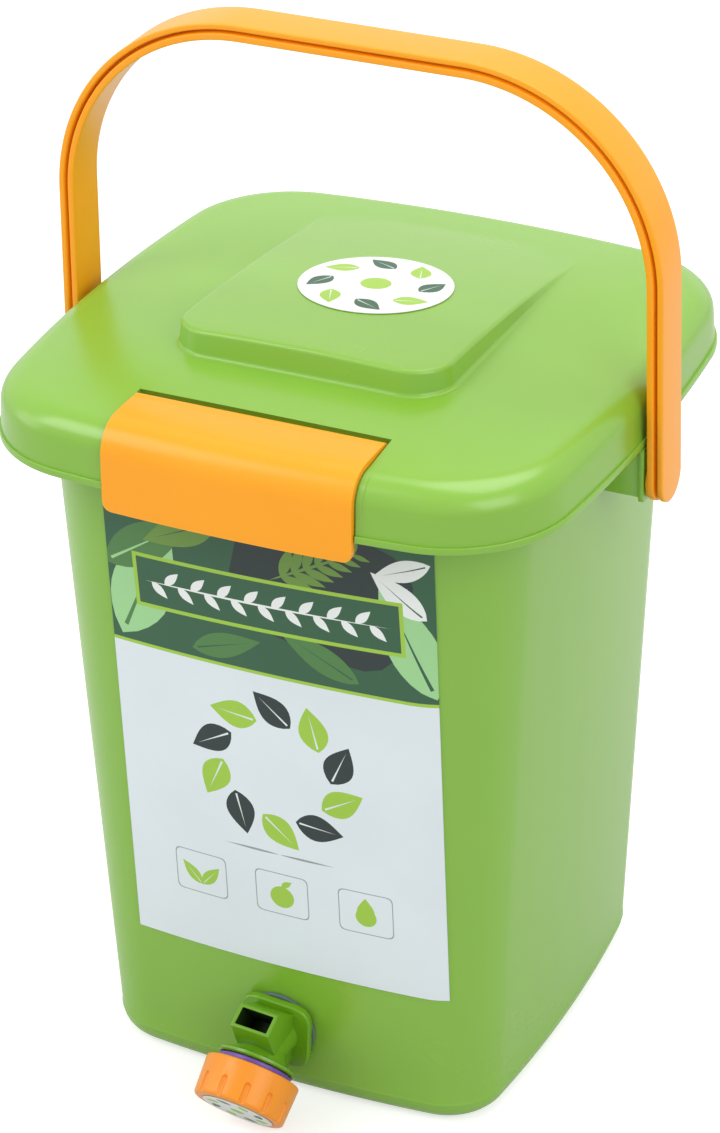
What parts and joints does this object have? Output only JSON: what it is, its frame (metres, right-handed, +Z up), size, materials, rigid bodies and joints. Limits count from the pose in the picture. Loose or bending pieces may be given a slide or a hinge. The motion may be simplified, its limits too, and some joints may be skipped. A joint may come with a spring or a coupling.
{
  "type": "kitchen compost bin",
  "caption": "Tapered square kitchen compost bin with a hinged lid, front latch, carrying bail, drain tap at the foot and a strainer tray inside",
  "frame": {"origin": "centre of the flat pad under the base, on the surface that the bin stands on", "axes": "+Z up, the front with label, latch and tap towards -Y, +X to the right seen from the front, the lid hinge towards +Y"},
  "size_m": [0.2786, 0.291, 0.4615],
  "materials": {
    "bin_green": "satin moulded polypropylene",
    "orange": "satin moulded polypropylene",
    "tap_green": "smooth moulded plastic",
    "purple": "matt soft ring",
    "grey_rubber": "matt rubber",
    "black_rubber": "matt rubber",
    "print": "printed vinyl label",
    "steel": "plain steel pin"
  },
  "bodies": {
    "bin": {"bin_body": "bin_green", "front_label": "print", "strainer_tray": "bin_green", "tap_body": "tap_green", "tap_outer_washer": "grey_rubber", "tap_inner_washer": "black_rubber", "tap_back_nut": "tap_green", "tap_ring": "purple", "lid_hinge_pin_left": "steel", "lid_hinge_pin_right": "steel"},
    "lid": {"lid_shell": "bin_green", "lid_seal": "grey_rubber", "lid_sticker": "print", "latch_pin": "steel"},
    "latch": {"latch_flap": "orange"},
    "handle": {"bail_handle": "orange"},
    "plunger": {"tap_plunger": "tap_green", "tap_plunger_oring": "black_rubber"},
    "knob": {"tap_knob": "orange", "knob_sticker": "print"}
  },
  "joints": [
    {"name": "lid_open", "type": "hinge", "parent": "bin", "child": "lid", "pos_m": [0, 0.1365, 0.309], "axis": [-1, 0, 0], "range_deg": [0, 65]},
    {"name": "handle_swing", "type": "hinge", "parent": "bin", "child": "handle", "pos_m": [0, 0, 0.289], "axis": [-1, 0, 0], "range_deg": [0, 133]},
    {"name": "latch_open", "type": "hinge", "parent": "lid", "child": "latch", "pos_m": [0, -0.0985, 0.33078], "axis": [-1, 0, 0], "range_deg": [0, 60]},
    {"name": "plunger_slide", "type": "slide", "parent": "bin", "child": "plunger", "axis": [-0.049, -0.7804, -0.6234], "range_m": [0, 0.005]},
    {"name": "knob_turn", "type": "hinge", "parent": "plunger", "child": "knob", "pos_m": [-0.00006, -0.11478, 0.03521], "axis": [-0.049, -0.7804, -0.6234], "range_deg": [0, 360]}
  ],
  "couplings": [
    {"joint": "handle_swing", "follows": "lid_open", "ratio": 2.04},
    {"joint": "knob_turn", "follows": "plunger_slide", "rad_per_m": 1256.6}
  ]
}
